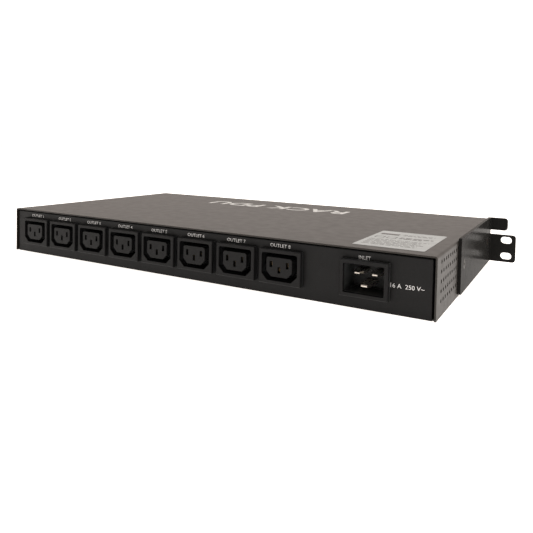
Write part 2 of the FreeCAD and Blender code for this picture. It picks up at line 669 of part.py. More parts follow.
def make_network_jack():
    """Shielded network jack, open towards the front."""
    board_top = CONTROL_BOARD_Z + BOARD_THICKNESS
    middle_z = board_top + JACK_HEIGHT / 2
    front_y = FRONT_FACE_Y + 0.4
    body = block(JACK_X, middle_z, JACK_WIDTH, JACK_HEIGHT, 0.4, front_y - 21, front_y)
    opening_z = middle_z - 0.8
    plug_way = block(JACK_X, opening_z, JACK_OPENING_WIDTH, JACK_OPENING_HEIGHT, 0.2,
                     front_y - JACK_OPENING_DEPTH, front_y + 1)
    latch_way = block(JACK_X, opening_z + JACK_OPENING_HEIGHT / 2 + 0.7, 6.2, 2.4, 0.2,
                      front_y - JACK_OPENING_DEPTH, front_y + 1)
    return body.cut([plug_way, latch_way])


def make_jack_contacts():
    """Eight sprung wires on the floor of the network jack's opening."""
    board_top = CONTROL_BOARD_Z + BOARD_THICKNESS
    floor_z = board_top + JACK_HEIGHT / 2 - 0.8 - JACK_OPENING_HEIGHT / 2
    back_y = FRONT_FACE_Y + 0.4 - JACK_OPENING_DEPTH
    contacts = []
    for i in range(8):
        x = JACK_X + (i - 3.5) * 1.02
        corners = [Vector(x - 0.2, back_y, floor_z), Vector(x - 0.2, back_y + 9, floor_z),
                   Vector(x - 0.2, back_y + 9, floor_z + 0.3), Vector(x - 0.2, back_y, floor_z + 1.2)]
        corners.append(corners[0])
        contacts.append(Part.Face(Part.makePolygon(corners)).extrude(Vector(0.4, 0, 0)))
    return group(contacts)


# ---- outlet buttons -------------------------------------------------------------
def make_outlet_button(x):
    """Push button whose flange keeps it behind the panel, with a plunger into its switch."""
    cap = block(x, BUTTON_Z, BUTTON_WIDTH, BUTTON_HEIGHT, 1.2, CAP_BACK_Y, FRONT_FACE_Y + BUTTON_PROUD)
    cap = round_face_edges(cap, 0.4, FRONT_FACE_Y + BUTTON_PROUD, BUTTON_WIDTH / 2, x)
    flange = block(x, BUTTON_Z, BUTTON_WIDTH + 2 * CAP_FLANGE, BUTTON_HEIGHT + 2 * CAP_FLANGE, 1.5,
                   CAP_BACK_Y, CAP_BACK_Y + 1.2)
    plunger_length = CAP_BACK_Y - PLUNGER_END_Y + 0.5
    plunger = rod((x, PLUNGER_END_Y, BUTTON_Z), (0, 1, 0), PLUNGER_RADIUS, plunger_length)
    return fuse([cap, flange, plunger])


def make_button_switches():
    """Momentary switches on the control board; each guides its button's plunger."""
    board_top = CONTROL_BOARD_Z + BOARD_THICKNESS
    switches = []
    for x in button_xs():
        body = box(x - 5, x + 5, SWITCH_FACE_Y - 8, SWITCH_FACE_Y, board_top, BUTTON_Z + 4.5)
        guide_depth = SWITCH_FACE_Y - PLUNGER_END_Y + BUTTON_TRAVEL + 0.6
        guide_y = SWITCH_FACE_Y - guide_depth
        guide = rod((x, guide_y, BUTTON_Z), (0, 1, 0), PLUNGER_RADIUS + 0.08, guide_depth + 1)
        switches.append(body.cut(guide))
    return group(switches)


def make_status_leds():
    """Round lamps in the panel, each on a pair of legs from the control board."""
    board_top = CONTROL_BOARD_Z + BOARD_THICKNESS
    stem_y = FRONT_INNER_Y - 5.5
    leg_y = SWITCH_FACE_Y - 9.5
    leds = []
    for x in button_xs():
        lamp = rod((x, stem_y, LED_Z), (0, 1, 0), LED_RADIUS, FRONT_FACE_Y - stem_y)
        dome = Part.makeSphere(LED_RADIUS, Vector(x, FRONT_FACE_Y - 1.2, LED_Z))
        collar = rod((x, stem_y, LED_Z), (0, 1, 0), LED_RADIUS + 0.4, 1.0)
        legs = []
        for side in (-1, 1):
            leg_x = x + side * 1.27
            legs.append(box(leg_x - 0.25, leg_x + 0.25, leg_y, stem_y + 0.5, LED_Z - 0.25, LED_Z + 0.25))
            legs.append(box(leg_x - 0.25, leg_x + 0.25, leg_y, leg_y + 0.5, board_top, LED_Z + 0.25))
        leds.append(fuse([lamp, dome, collar] + legs))
    return group(leds)


# ---- resettable breakers --------------------------------------------------------
def make_breaker(x):
    """Thermal breaker body with a threaded neck through the panel and two tabs behind."""
    body = box(x - 7.5, x + 7.5, BREAKER_BACK_Y, BREAKER_FACE_Y, BREAKER_Z - 15, BREAKER_Z + 15)
    body = body.makeFillet(1.0, [edge for edge in body.Edges if edge.BoundBox.YLength > 1])
    neck_length = NECK_END_Y - BREAKER_FACE_Y + 1
    neck = rod((x, BREAKER_FACE_Y - 1, BREAKER_Z), (0, 1, 0), BREAKER_NECK_RADIUS, neck_length)
    bore_back = BREAKER_BUTTON_BACK_Y - 0.6
    bore = rod((x, bore_back, BREAKER_Z), (0, 1, 0), BREAKER_BORE_RADIUS, NECK_END_Y - bore_back + 1)
    tabs = [box(x - 0.4, x + 0.4, BREAKER_TAB_Y, BREAKER_BACK_Y + 1, z - 3.15, z + 3.15)
            for z in (BREAKER_Z - 8, BREAKER_Z + 8)]
    return fuse([body, neck] + tabs).cut(bore)


def make_breaker_button(x):
    button_end = FRONT_FACE_Y + BREAKER_BUTTON_PROUD
    button = rod((x, BREAKER_BUTTON_BACK_Y, BREAKER_Z), (0, 1, 0), BREAKER_BUTTON_RADIUS,
                 button_end - BREAKER_BUTTON_BACK_Y)
    rim = [edge for edge in button.Edges if edge.BoundBox.YMin > button_end - 0.001]
    return button.makeFillet(0.5, rim)


def make_breaker_nuts():
    nuts = []
    for x in BREAKER_XS:
        nut = hexagon((x, FRONT_FACE_Y, BREAKER_Z), NUT_FLATS, NUT_THICKNESS, (0, 1, 0))
        bore = rod((x, FRONT_FACE_Y - 1, BREAKER_Z), (0, 1, 0), BREAKER_NECK_RADIUS, NUT_THICKNESS + 2)
        nuts.append(nut.cut(bore))
    return group(nuts)


# ---- mains wiring -----------------------------------------------------------------
def comb_bus(offset_x, z, strip_y):
    """Brass strip along the outlets with a finger to one tab of each."""
    low, high = z - BUS_THICKNESS / 2, z + BUS_THICKNESS / 2
    strip = box(OUTLET_FIRST_X + offset_x - 3, outlet_xs()[-1] + offset_x + 12,
                strip_y, strip_y + 5, low, high)
    fingers = [box(x + offset_x - 1.5, x + offset_x + 1.5, TAB_END_Y, strip_y + 1, low, high)
               for x in outlet_xs()]
    return fuse([strip] + fingers)


def make_neutral_bus():
    return comb_bus(POLE_SPACING / 2, SOCKET_Z + POLE_RISE + BUS_THICKNESS, NEUTRAL_BUS_Y)


def make_earth_bus():
    return comb_bus(0.0, SOCKET_Z - POLE_RISE - BUS_THICKNESS, EARTH_BUS_Y)


def make_line_jumpers():
    """Brass links from each line tab down to the relay board."""
    jumpers = []
    for x in outlet_xs():
        line_x = x - POLE_SPACING / 2
        z = SOCKET_Z + POLE_RISE
        jumpers.append(box(line_x - 1.5, line_x + 1.5, TAB_END_Y, TAB_END_Y + 0.8,
                           relay_board_top(), z + 2.0))
    return group(jumpers)


def make_earth_stud():
    base = hexagon((EARTH_STUD_X, EARTH_STUD_Y, SHEET), 8.0, 2.0, (0, 0, 1))
    return fuse([base, rod((EARTH_STUD_X, EARTH_STUD_Y, SHEET), (0, 0, 1), 2.0, 13.0)])


def make_earth_nut():
    nut = hexagon((EARTH_STUD_X, EARTH_STUD_Y, SHEET + 4.6), 7.0, 3.2, (0, 0, 1))
    return nut.cut(rod((EARTH_STUD_X, EARTH_STUD_Y, SHEET), (0, 0, 1), 2.0, 20))


def make_mains_wires():
    """Insulated wires: inlet line to both breakers, breakers to the board, and neutral."""
    (line_x, line_z), (neutral_x, neutral_z), _ = inlet_places()
    radius, bend = 1.6, 6.0
    upper_z, lower_z = BREAKER_Z + 8, BREAKER_Z - 8
    left_x, right_x = BREAKER_XS
    terminal_z = relay_board_top() + 4
    terminal_y = TERMINAL_Y + 6
    second_x = TERMINAL_X + TERMINAL_PITCH
    link_y = BREAKER_TAB_Y - 2
    wires = [
        wire_run([(line_x, TAB_END_Y, line_z), (line_x, -10, line_z), (left_x, 20, upper_z),
                  (left_x, BREAKER_TAB_Y, upper_z)], radius, bend),
        wire_run([(left_x + 4, link_y, upper_z), (right_x - 4, link_y, upper_z)], radius, bend),
        wire_run([(left_x, BREAKER_TAB_Y, lower_z), (left_x, 20, lower_z), (TERMINAL_X, 6, terminal_z),
                  (TERMINAL_X, terminal_y, terminal_z)], radius, bend),
        wire_run([(right_x, BREAKER_TAB_Y, lower_z), (right_x, 12, lower_z), (second_x, 0, terminal_z),
                  (second_x, terminal_y, terminal_z)], radius, 4.0),
    ]
    bus_x = outlet_xs()[-1] + POLE_SPACING / 2 + 12
    bus_y = NEUTRAL_BUS_Y + 2.5
    bus_z = SOCKET_Z + POLE_RISE + BUS_THICKNESS
    wires.append(wire_run([(neutral_x, TAB_END_Y, neutral_z), (neutral_x, TAB_END_Y + 8, neutral_z),
                           (neutral_x - 4, EARTH_STUD_Y, neutral_z + 7),
                           (bus_x + 20, EARTH_STUD_Y, bus_z + 7),
                           (bus_x + 8, bus_y, bus_z), (bus_x, bus_y, bus_z)], 1.2, 2.5))
    return group(wires)


def make_earth_wires():
    """Green and yellow wires from the inlet's earth and from the bus to the earth stud."""
    earth_x, earth_z = inlet_places()[2]
    bus_x, bus_y = outlet_xs()[-1] + 12, EARTH_BUS_Y + 2.5
    bus_z = SOCKET_Z - POLE_RISE - BUS_THICKNESS
    stud_z = SHEET + 3.4
    return group([
        wire_run([(earth_x, TAB_END_Y, earth_z), (earth_x, TAB_END_Y + 12, earth_z),
                  (earth_x - 8, EARTH_STUD_Y, stud_z), (EARTH_STUD_X + 2.2, EARTH_STUD_Y, stud_z)], 1.2, 2.5),
        wire_run([(bus_x, bus_y, bus_z), (bus_x + 14, bus_y, bus_z), (bus_x + 20, EARTH_STUD_Y, stud_z),
                  (EARTH_STUD_X - 2.2, EARTH_STUD_Y, stud_z)], 1.2, 2.5),
    ])


# ---- all nodes ------------------------------------------------------------------------
def build():
    nodes = {
        "floor_tray": make_floor_tray(),
        "rear_panel": make_rear_panel(),
        "front_panel": make_front_panel(),
        "cover": make_cover(),
        "rack_ear_right": make_ear(True),
        "rack_ear_left": mirrored(make_ear(False)),
        "ear_screws": make_ear_screws(),
        "ear_nuts": make_ear_nuts(),
        "rating_label": make_rating_label(),
        "inlet_housing": make_inlet(),
        "inlet_power_blades": make_inlet_power_blades(),
        "inlet_earth_blade": make_inlet_earth_blade(),
        "relay_board": make_board(RELAY_BOARD, RELAY_BOARD_Z),
        "control_board": make_board(CONTROL_BOARD, CONTROL_BOARD_Z),
        "board_standoffs": make_standoffs(),
        "board_screws": make_board_screws(),
        "relays": make_relays(),
        "power_module": make_power_module(),
        "terminal_block": make_terminal_block(),
        "ribbon_cable": make_ribbon_cable(),
        "network_jack": make_network_jack(),
        "network_jack_contacts": make_jack_contacts(),
        "button_switches": make_button_switches(),
        "status_leds": make_status_leds(),
        "breaker_nuts": make_breaker_nuts(),
        "neutral_bus": make_neutral_bus(),
        "earth_bus": make_earth_bus(),
        "line_jumpers": make_line_jumpers(),
        "earth_stud": make_earth_stud(),
        "earth_nut": make_earth_nut(),
        "mains_wires": make_mains_wires(),
        "earth_wires": make_earth_wires(),
    }
    for i, x in enumerate(outlet_xs(), start=1):
        nodes[f"outlet_{i}"] = make_outlet(x)
        nodes[f"outlet_contacts_{i}"] = make_outlet_contacts(x)
    for i, x in enumerate(button_xs(), start=1):
        nodes[f"outlet_button_{i}"] = make_outlet_button(x)
    for i, x in enumerate(BREAKER_XS, start=1):
        nodes[f"breaker_{i}"] = make_breaker(x)
        nodes[f"breaker_button_{i}"] = make_breaker_button(x)
    return nodes


os.makedirs("parts", exist_ok=True)
for name, shape in build().items():
    shape.exportStep(f"parts/{name}.step")
    print(f"{name:24s} solids {len(shape.Solids)}  volume {shape.Volume:10.1f}  valid {shape.isValid()}")
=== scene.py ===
"""Rack power strip: materials, printing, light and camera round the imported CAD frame."""
import json
import math
import random

import bpy
from mathutils import Matrix, Vector


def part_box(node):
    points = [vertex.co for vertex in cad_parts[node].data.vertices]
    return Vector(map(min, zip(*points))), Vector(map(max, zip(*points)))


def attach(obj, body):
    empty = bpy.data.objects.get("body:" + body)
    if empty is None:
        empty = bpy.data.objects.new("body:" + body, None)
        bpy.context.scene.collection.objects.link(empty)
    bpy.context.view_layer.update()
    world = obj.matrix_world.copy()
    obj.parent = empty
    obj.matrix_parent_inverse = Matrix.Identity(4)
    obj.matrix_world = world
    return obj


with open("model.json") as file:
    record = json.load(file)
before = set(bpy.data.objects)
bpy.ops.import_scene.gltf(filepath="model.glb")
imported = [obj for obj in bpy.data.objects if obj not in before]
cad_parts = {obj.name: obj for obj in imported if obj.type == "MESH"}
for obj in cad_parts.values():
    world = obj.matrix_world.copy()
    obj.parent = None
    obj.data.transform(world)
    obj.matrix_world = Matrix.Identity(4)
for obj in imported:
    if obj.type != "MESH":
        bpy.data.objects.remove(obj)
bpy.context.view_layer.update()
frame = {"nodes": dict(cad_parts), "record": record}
nodes = frame["nodes"]
BODY = "chassis"
MM = 0.001
OUTLETS = 8

# ---- camera: the photograph's viewing angle ------------------------------------
CAMERA_PLACE = (0.29307, -0.48307, 0.11493)
CAMERA_YAW = math.radians(29.718)
CAMERA_PITCH = math.radians(-2.149)
CAMERA_ROLL = math.radians(1.136)
CAMERA_LENS = 36.987
CAMERA_SHIFT_Y = -0.1904
CAMERA_SENSOR = 36
CAMERA_NEAR = 0.01

# ---- printing: widths and heights of words, and how far they stand from their part ----
INK_HEIGHT = 0.04 * MM
OUTLET_TEXT = (17.3 * MM, 2.6 * MM)
OUTLET_TEXT_RISE = 2.6 * MM
OUTLET_TEXT_SHIFT = -1.8 * MM
INLET_TEXT = (8.7 * MM, 2.6 * MM)
INLET_TEXT_RISE = 1.5 * MM
INLET_TEXT_SHIFT = -0.8 * MM
RATING_TEXT = (23.2 * MM, 3.0 * MM)
RATING_TEXT_SHIFT = -2.6 * MM
RATING_TEXT_DROP = 1.8 * MM
DIGIT_HEIGHT = 2.8 * MM
DIGIT_WIDTH = 1.7 * MM
DIGIT_ONE_WIDTH = 0.6 * MM
DIGIT_DROP = 3.0 * MM
NETWORK_TEXT = (14 * MM, 2.4 * MM)
NETWORK_TEXT_RISE = 3.4 * MM
RESET_TEXT = (9.5 * MM, 2.4 * MM)
RESET_TEXT_RISE = 10.5 * MM
TOP_TEXT = (172 * MM, 25 * MM)
TOP_TEXT_PLACE = (-6 * MM, 64 * MM)
FRONT_WEIGHT = 0.01                      # extra stroke thickness, in letter heights
TOP_WEIGHT = 0.02
PRINT_SEED = 7

# ---- the label's artwork: places below its far edge, and sizes ----------------------------
LABEL_MARGIN = 3.5 * MM
HEADING_WIDTH = 15 * MM
HEADING_FROM, HEADING_TO = 12.5 * MM, 19 * MM
RULE = 0.7 * MM
BOX_WIDTH = 7.5 * MM
BOX_PITCH = 9.5 * MM
BOX_FROM, BOX_TO = 27.5 * MM, 35 * MM
SMALL_ROW = 1.3 * MM
LARGE_ROW = 2.6 * MM
HEADING_ROWS = (14 * MM, 18 * MM)
HEADING_ROWS_START = 22 * MM
BOX_ROWS = (29.5 * MM, 34.0 * MM)
BOX_ROWS_START = 23 * MM
FIRST_FULL_ROW = 43 * MM
FULL_ROW_PITCH = 4.6 * MM
FULL_ROWS = 6
WORD_SHORTEST, WORD_LONGEST = 2.0 * MM, 6.5 * MM
WORD_GAP = 1.1 * MM
RAGGED_EDGE = 9 * MM                     # a row ends up to this far before the margin

# ---- colours and light ---------------------------------------------------------------------
# Socket plastic colour; also used for the end panels, where it is darker than the cover's coat as
# painted shade.
SOCKET_BLACK_AND_PANEL_SHADE = (0.008, 0.008, 0.0082)
SOCKET_GLOSS = 0.15                      # specular level
PLASTIC_GRAIN = 2500                     # features per metre
FLOOR_REACH = 6.0
ROOM_COLOR = (1.17, 1.05, 0.97, 1)
ROOM_DARK, ROOM_BRIGHT = 0.12, 1.04      # strength behind the outlets and behind the front
ROOM_RAMP = (-0.6, 0.5)                  # the part of the Y direction that it changes over


# ---- material helpers --------------------------------------------------------------
class Shader:
    """One material with a Principled surface, and short ways to add texture nodes to it."""

    def __init__(self, name, color, roughness, metallic=0.0, **sockets):
        self.material = bpy.data.materials.new(name)
        self.material.use_nodes = True
        self.tree = self.material.node_tree
        self.surface = self.tree.nodes["Principled BSDF"]
        self.surface.inputs["Base Color"].default_value = (*color, 1)
        self.surface.inputs["Roughness"].default_value = roughness
        self.surface.inputs["Metallic"].default_value = metallic
        for socket, value in sockets.items():
            self.surface.inputs[socket.replace("_", " ")].default_value = value
        self.place = self.tree.nodes.new("ShaderNodeTexCoord").outputs["Object"]

    def link(self, source, target):
        self.tree.links.new(source, target)

    def noise(self, scale, detail=3.0, stretch=(1, 1, 1)):
        """Noise in object space; scale is in features per metre."""
        mapping = self.tree.nodes.new("ShaderNodeMapping")
        mapping.inputs["Scale"].default_value = stretch
        texture = self.tree.nodes.new("ShaderNodeTexNoise")
        texture.inputs["Scale"].default_value = scale
        texture.inputs["Detail"].default_value = detail
        self.link(self.place, mapping.inputs["Vector"])
        self.link(mapping.outputs["Vector"], texture.inputs["Vector"])
        return texture.outputs["Fac"]

    def speckle(self, scale):
        texture = self.tree.nodes.new("ShaderNodeTexVoronoi")
        texture.inputs["Scale"].default_value = scale
        self.link(self.place, texture.inputs["Vector"])
        return texture.outputs["Distance"]

    def ranged(self, source, low, high):
        node = self.tree.nodes.new("ShaderNodeMapRange")
        node.inputs["From Min"].default_value = 0.3
        node.inputs["From Max"].default_value = 0.7
        node.inputs["To Min"].default_value = low
        node.inputs["To Max"].default_value = high
        self.link(source, node.inputs["Value"])
        return node.outputs["Result"]

    def along_y(self, low, high):
        """0 to 1 between two places along Y."""
        split = self.tree.nodes.new("ShaderNodeSeparateXYZ")
        node = self.tree.nodes.new("ShaderNodeMapRange")
        node.inputs["From Min"].default_value = low
        node.inputs["From Max"].default_value = high
        self.link(self.place, split.inputs["Vector"])
        self.link(split.outputs["Y"], node.inputs["Value"])
        return node.outputs["Result"]

    def vary_roughness(self, source, low, high):
        self.link(self.ranged(source, low, high), self.surface.inputs["Roughness"])

    def vary_color(self, source, *colors):
        ramp = self.tree.nodes.new("ShaderNodeValToRGB")
        ramp.color_ramp.elements[0].position = 0.35
        ramp.color_ramp.elements[1].position = 0.65
        for element, color in zip(ramp.color_ramp.elements, colors):
            element.color = (*color, 1)
        self.link(source, ramp.inputs["Fac"])
        self.link(ramp.outputs["Color"], self.surface.inputs["Base Color"])

    def bump(self, source, depth, strength):
        node = self.tree.nodes.new("ShaderNodeBump")
        node.inputs["Strength"].default_value = strength
        node.inputs["Distance"].default_value = depth
        self.link(source, node.inputs["Height"])
        self.link(node.outputs["Normal"], self.surface.inputs["Normal"])


def powder_coat(name, color, roughness, specular):
    """Powder coat: fine orange peel, with slightly uneven gloss."""
    shader = Shader(name, color, roughness[0], Specular_IOR_Level=specular)
    lighter = tuple(channel * 1.2 for channel in color)
    shader.vary_color(shader.noise(900, 2), color, lighter)
    shader.vary_roughness(shader.noise(120, 4), *roughness)
    shader.bump(shader.noise(1500, 2), 0.02 * MM, 0.35)
    return shader.material


def moulded_plastic(name, color, roughness=(0.38, 0.48), specular=0.5):
    """Satin moulded plastic with a fine spark-eroded grain."""
    shader = Shader(name, color, roughness[0], Specular_IOR_Level=specular)
    lighter = tuple(channel * 1.25 for channel in color)
    shader.vary_color(shader.noise(60), color, lighter)
    shader.vary_roughness(shader.noise(200, 4), *roughness)
    shader.bump(shader.noise(PLASTIC_GRAIN, 2), 0.015 * MM, 0.4)
    return shader.material


def hollow_plastic(name, face_y, painted_light_color):
    """The sockets' black plastic, with its colour painted paler deeper into the hollow as painted light;
    roughness varies at random.
    """
    shader = Shader(name, SOCKET_BLACK_AND_PANEL_SHADE, 0.45, Specular_IOR_Level=SOCKET_GLOSS)
    # Painted light: from 1 mm to 5 mm behind the face the colour turns paler, standing in for light
    # reaching into the hollow.
    depth = shader.along_y(face_y + 1 * MM, face_y + 5 * MM)
    shader.vary_color(depth, SOCKET_BLACK_AND_PANEL_SHADE, painted_light_color)
    shader.vary_roughness(shader.noise(200, 4), 0.40, 0.50)
    shader.bump(shader.noise(PLASTIC_GRAIN, 2), 0.015 * MM, 0.4)
    return shader.material


def plated(name, color, roughness, along=(1, 1, 1)):
    """Plated metal with faint drawn lines and a little clouding."""
    shader = Shader(name, color, roughness[0], metallic=1.0)
    darker = tuple(channel * 0.8 for channel in color)
    shader.vary_color(shader.noise(90, 4), darker, color)
    shader.vary_roughness(shader.noise(700, 3, along), *roughness)
    shader.bump(shader.noise(1800, 2, along), 0.008 * MM, 0.3)
    return shader.material


def circuit_board():
    """Solder mask over faint tracks."""
    shader = Shader("circuit_board", (0.02, 0.13, 0.05), 0.3)
    shader.vary_color(shader.noise(180, 1, (1, 0.15, 1)), (0.012, 0.09, 0.035), (0.03, 0.17, 0.07))
    shader.vary_roughness(shader.noise(90), 0.25, 0.4)
    shader.bump(shader.noise(400, 1, (1, 0.15, 1)), 0.03 * MM, 0.4)
    return shader.material


def label_film():
    """Satin silver-grey film, slightly mottled."""
    shader = Shader("label_film", (0.40, 0.41, 0.40), 0.5)
    shader.vary_color(shader.noise(120), (0.32, 0.335, 0.33), (0.36, 0.375, 0.37))
    shader.vary_roughness(shader.noise(300), 0.48, 0.58)
    shader.bump(shader.noise(900), 0.01 * MM, 0.3)
    return shader.material


def ink(name, color):
    """Screen-printed ink: slightly uneven coverage."""
    shader = Shader(name, color, 0.5)
    thin = tuple(channel * 0.86 for channel in color)
    shader.vary_color(shader.noise(1400, 3), thin, color)
    shader.vary_roughness(shader.noise(500), 0.45, 0.6)
    shader.bump(shader.speckle(3000), 0.01 * MM, 0.3)
    return shader.material


def lens():
    """Tinted lamp lens with a faint moulding texture."""
    shader = Shader("led_lens", (0.05, 0.32, 0.09), 0.12, Coat_Weight=0.5)
    shader.vary_color(shader.noise(700), (0.04, 0.26, 0.07), (0.07, 0.38, 0.12))
    shader.vary_roughness(shader.noise(400), 0.08, 0.18)
    return shader.material


def insulation(name, first, second):
    """Cable insulation; two colours make the striped earth wire."""
    shader = Shader(name, first, 0.4)
    shader.vary_color(shader.noise(110, 0, (1, 1, 2)), first, second)
    shader.vary_roughness(shader.noise(300), 0.35, 0.5)
    shader.bump(shader.noise(1500), 0.01 * MM, 0.3)
    return shader.material


def studio_paper():
    """White paper over a lit table, so that the object throws hardly any shadow."""
    shader = Shader("studio_paper", (0.86, 0.86, 0.86), 0.9, Emission_Color=(1.0, 0.95, 0.9, 1),
                    Emission_Strength=1.0)
    shader.vary_color(shader.noise(3), (0.85, 0.85, 0.85), (0.88, 0.88, 0.88))
    return shader.material


def slot_materials():
    """One material for each of the record's slots."""
    return {
        "black_powder_coat": powder_coat("black_powder_coat", (0.016, 0.013, 0.010), (0.47, 0.53), 0.36),
        "socket_plastic": moulded_plastic("socket_plastic", SOCKET_BLACK_AND_PANEL_SHADE, (0.40, 0.48), SOCKET_GLOSS),
        "black_screw_steel": powder_coat("black_screw_steel", (0.02, 0.016, 0.013), (0.40, 0.50), 0.1),
        "plated_steel": plated("plated_steel", (0.60, 0.60, 0.62), (0.22, 0.38)),
        "nickel_blade": plated("nickel_blade", (0.60, 0.56, 0.50), (0.24, 0.36), (1, 0.05, 1)),
        "contact_brass": plated("contact_brass", (0.70, 0.50, 0.24), (0.25, 0.4)),
        "label_film": label_film(),
        "circuit_board": circuit_board(),
        "relay_plastic": moulded_plastic("relay_plastic", (0.02, 0.02, 0.023)),
        "terminal_plastic": moulded_plastic("terminal_plastic", (0.03, 0.18, 0.06)),
        "ribbon_grey": moulded_plastic("ribbon_grey", (0.38, 0.38, 0.39)),
        "led_lens": lens(),
        "button_plastic": moulded_plastic("button_plastic", (0.075, 0.075, 0.08), (0.32, 0.42)),
        "breaker_button_plastic": moulded_plastic("breaker_button_plastic", (0.66, 0.65, 0.60),
                                                  (0.28, 0.36)),
        "wire_brown": insulation("wire_brown", (0.12, 0.05, 0.025), (0.15, 0.065, 0.03)),
        "wire_green": insulation("wire_green", (0.05, 0.25, 0.04), (0.62, 0.55, 0.05)),
    }


def paint_cad_nodes(materials):
    """The record's slot for each node, but end panels in a duller copy darkened as painted shade,
    glossier ears, and hollows painted paler as painted light.
    """
    # Painted shade: the end panels get a darker, duller copy of the cover's powder coat, standing in for
    # the lower light on those faces.
    panel = powder_coat("black_powder_coat_dull_painted_shade", SOCKET_BLACK_AND_PANEL_SHADE, (0.40, 0.48), SOCKET_GLOSS)
    ear = powder_coat("black_powder_coat_glossy", (0.0175, 0.0172, 0.0165), (0.17, 0.23), 0.002)
    own = {"rear_panel": panel, "front_panel": panel, "rack_ear_right": ear, "rack_ear_left": ear,
           # Paler hollow colour of the inlet: painted light.
           "inlet_housing": hollow_plastic("inlet_plastic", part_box("inlet_housing")[0].y,
                                           (0.045, 0.047, 0.048))}
    # Paler hollow colour of the outlets: painted light.
    outlet = hollow_plastic("outlet_plastic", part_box("outlet_1")[0].y, (0.022, 0.023, 0.024))
    own.update({f"outlet_{i}": outlet for i in range(1, OUTLETS + 1)})
    for part in frame["record"]["subparts"]:
        name = part["node"]
        nodes[name].data.materials.clear()
        nodes[name].data.materials.append(own.get(name) or materials[part["material_slot"]])


# ---- printing on the enclosure --------------------------------------------------------
def facing(wall):
    """Turn for flat artwork so that it reads upright on this wall."""
    turns = {
        "rear": Matrix.Rotation(math.pi / 2, 4, "X"),
        "front": Matrix.Rotation(math.pi, 4, "Z") @ Matrix.Rotation(math.pi / 2, 4, "X"),
        "top": Matrix.Identity(4),
        "top_from_front": Matrix.Rotation(math.pi, 4, "Z"),
    }
    return turns[wall]


def settle(piece, wall, place, material):
    """Turn a flat piece onto a wall, give it its material and fix it to the chassis."""
    piece.data.transform(Matrix.Translation(Vector(place)) @ facing(wall))
    piece.data.materials.clear()
    piece.data.materials.append(material)
    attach(piece, BODY)


def lettering(name, words, size, wall, place, material, weight=0.0):
    """Raised printed words, centred on place and stretched to exactly size."""
    curve = bpy.data.curves.new(name, "FONT")
    curve.body = words
    curve.extrude = INK_HEIGHT / size[1]
    curve.offset = weight
    curve.resolution_u = 4
    holder = bpy.data.objects.new(name + "_curve", curve)
    bpy.context.scene.collection.objects.link(holder)
    bpy.context.view_layer.update()
    graph = bpy.context.evaluated_depsgraph_get()
    mesh = bpy.data.meshes.new_from_object(holder.evaluated_get(graph))
    bpy.data.objects.remove(holder)
    xs = [vertex.co.x for vertex in mesh.vertices]
    ys = [vertex.co.y for vertex in mesh.vertices]
    middle = Vector(((min(xs) + max(xs)) / 2, (min(ys) + max(ys)) / 2, 0))
    scale = (size[0] / (max(xs) - min(xs)), size[1] / (max(ys) - min(ys)), size[1])
    mesh.transform(Matrix.Diagonal((*scale, 1)) @ Matrix.Translation(-middle))
    piece = bpy.data.objects.new(name, mesh)
    bpy.context.scene.collection.objects.link(piece)
    settle(piece, wall, place, material)


def flat_shape(name, loops, wall, place, material):
    """Raised flat artwork from closed outlines in the plane of the wall."""
    vertices, faces = [], []
    for loop in loops:
        base = len(vertices)
        count = len(loop)
        vertices += [(x, y, 0) for x, y in loop] + [(x, y, INK_HEIGHT) for x, y in loop]
        faces.append([base + count + i for i in range(count)])
        faces.append([base + count - 1 - i for i in range(count)])
        for i in range(count):
            j = (i + 1) % count
            faces.append([base + i, base + j, base + count + j, base + count + i])
    mesh = bpy.data.meshes.new(name)
    mesh.from_pydata(vertices, [], faces)
    mesh.update()
    piece = bpy.data.objects.new(name, mesh)
    bpy.context.scene.collection.objects.link(piece)
    settle(piece, wall, place, material)


def bar(x_low, x_high, y_low, y_high):
    return [(x_low, y_low), (x_high, y_low), (x_high, y_high), (x_low, y_high)]


def middle_of(node):
    low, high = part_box(node)
    return (low + high) / 2


def print_rear_panel(white):
    face_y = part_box("rear_panel")[0].y
    text_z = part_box("outlet_1")[1].z + OUTLET_TEXT_RISE
    for i in range(1, OUTLETS + 1):
        place = (middle_of(f"outlet_{i}").x + OUTLET_TEXT_SHIFT, face_y, text_z)
        lettering(f"print_outlet_{i}", f"OUTLET {i}", OUTLET_TEXT, "rear", place, white)
    inlet = middle_of("inlet_housing")
    inlet_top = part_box("inlet_housing")[1]
    inlet_place = (inlet.x + INLET_TEXT_SHIFT, face_y, inlet_top.z + INLET_TEXT_RISE)
    lettering("print_inlet", "INLET", INLET_TEXT, "rear", inlet_place, white)
    panel_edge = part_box("rear_panel")[1].x
    rating_place = ((inlet_top.x + panel_edge) / 2 + RATING_TEXT_SHIFT, face_y,
                    inlet.z - RATING_TEXT_DROP)
    lettering("print_rating", "16 A  250 V~", RATING_TEXT, "rear", rating_place, white)


def print_front_panel(white):
    face_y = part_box("front_panel")[1].y
    for i in range(1, OUTLETS + 1):
        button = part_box(f"outlet_button_{i}")
        place = (middle_of(f"outlet_button_{i}").x, face_y, button[0].z - DIGIT_DROP)
        size = (DIGIT_ONE_WIDTH if i == 1 else DIGIT_WIDTH, DIGIT_HEIGHT)
        lettering(f"print_button_{i}", str(i), size, "front", place, white, FRONT_WEIGHT)
    jack_place = (middle_of("network_jack").x, face_y,
                  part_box("network_jack")[1].z + NETWORK_TEXT_RISE)
    lettering("print_network", "NETWORK", NETWORK_TEXT, "front", jack_place, white, FRONT_WEIGHT)
    for i in (1, 2):
        breaker = middle_of(f"breaker_button_{i}")
        place = (breaker.x, face_y, breaker.z + RESET_TEXT_RISE)
        lettering(f"print_breaker_{i}", "RESET", RESET_TEXT, "front", place, white, FRONT_WEIGHT)


def print_cover(grey):
    """Plain words on the top, read from the front."""
    place = (*TOP_TEXT_PLACE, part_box("cover")[1].z)
    lettering("print_top", "RACK PDU", TOP_TEXT, "top_from_front", place, grey, TOP_WEIGHT)


